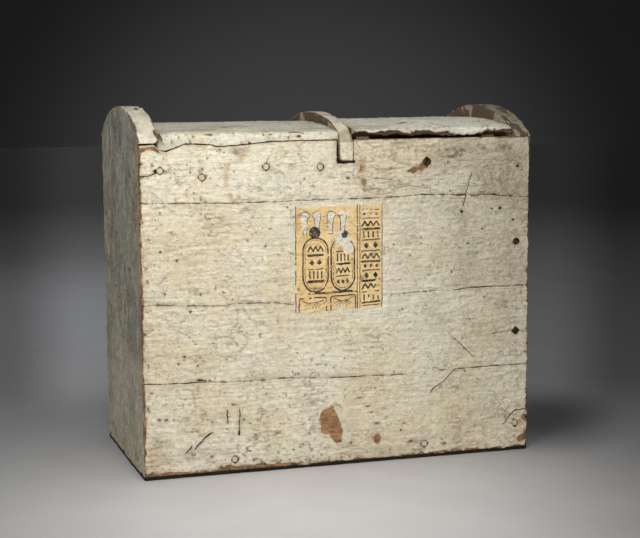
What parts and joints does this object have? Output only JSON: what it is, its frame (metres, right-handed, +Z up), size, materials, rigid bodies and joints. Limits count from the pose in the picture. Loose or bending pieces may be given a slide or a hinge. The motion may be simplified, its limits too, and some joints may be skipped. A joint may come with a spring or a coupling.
{
  "type": "ushabti box",
  "caption": "Gessoed wooden shrine-shaped box with side-by-side compartments, arched end boards and partition, vaulted lift-off lids, pegged planks and battened lids on inner rails.",
  "frame": {"origin": "middle of the footprint, on the surface that the box stands on", "axes": "+X to the right along the front, from the left compartment to the right one; the front wall faces -Y; +Z up"},
  "size_m": [0.56, 0.284, 0.4965],
  "materials": {
    "gessoed_wood": "matt off-white gesso over wood, cracked and worn",
    "bare_wood": "bare, aged",
    "peg_wood": "bare end grain, partly gessoed",
    "joint_wood": "bare, hidden"
  },
  "bodies": {
    "carcass": {"back_bottom_plank": "gessoed_wood", "back_corner_pegs": "peg_wood", "back_floor_pegs": "peg_wood", "back_lower_plank": "gessoed_wood", "back_rail_pegs": "peg_wood", "back_top_plank": "gessoed_wood", "back_upper_plank": "gessoed_wood", "back_wall_tenons": "joint_wood", "end_floor_pegs": "peg_wood", "floor_back_board": "bare_wood", "floor_dowels": "joint_wood", "floor_front_board": "bare_wood", "floor_middle_board": "bare_wood", "front_bottom_plank": "gessoed_wood", "front_corner_pegs": "peg_wood", "front_floor_pegs": "peg_wood", "front_lower_plank": "gessoed_wood", "front_rail_pegs": "peg_wood", "front_top_plank": "gessoed_wood", "front_upper_plank": "gessoed_wood", "front_wall_tenons": "joint_wood", "left_back_lid_rail": "bare_wood", "left_end_back_board": "gessoed_wood", "left_end_front_board": "gessoed_wood", "left_end_tenons": "joint_wood", "left_front_lid_rail": "bare_wood", "partition_arch_board": "gessoed_wood", "partition_bottom_board": "bare_wood", "partition_dowels": "joint_wood", "partition_lower_board": "bare_wood", "partition_upper_board": "bare_wood", "right_back_lid_rail": "bare_wood", "right_end_back_board": "gessoed_wood", "right_end_front_board": "gessoed_wood", "right_end_tenons": "joint_wood", "right_front_lid_rail": "bare_wood"},
    "left_lid": {"left_lid_back_board": "gessoed_wood", "left_lid_crown_board": "gessoed_wood", "left_lid_front_board": "gessoed_wood", "left_lid_inner_batten": "bare_wood", "left_lid_outer_batten": "bare_wood", "left_lid_pegs": "peg_wood"},
    "right_lid": {"right_lid_back_board": "gessoed_wood", "right_lid_crown_board": "gessoed_wood", "right_lid_front_board": "gessoed_wood", "right_lid_inner_batten": "bare_wood", "right_lid_outer_batten": "bare_wood", "right_lid_pegs": "peg_wood"}
  },
  "joints": [
    {"name": "left_lid_lift", "type": "slide", "parent": "carcass", "child": "left_lid", "axis": [0, 0, 1], "range_m": [0, 0.1]},
    {"name": "right_lid_lift", "type": "slide", "parent": "carcass", "child": "right_lid", "axis": [0, 0, 1], "range_m": [0, 0.1]}
  ]
}
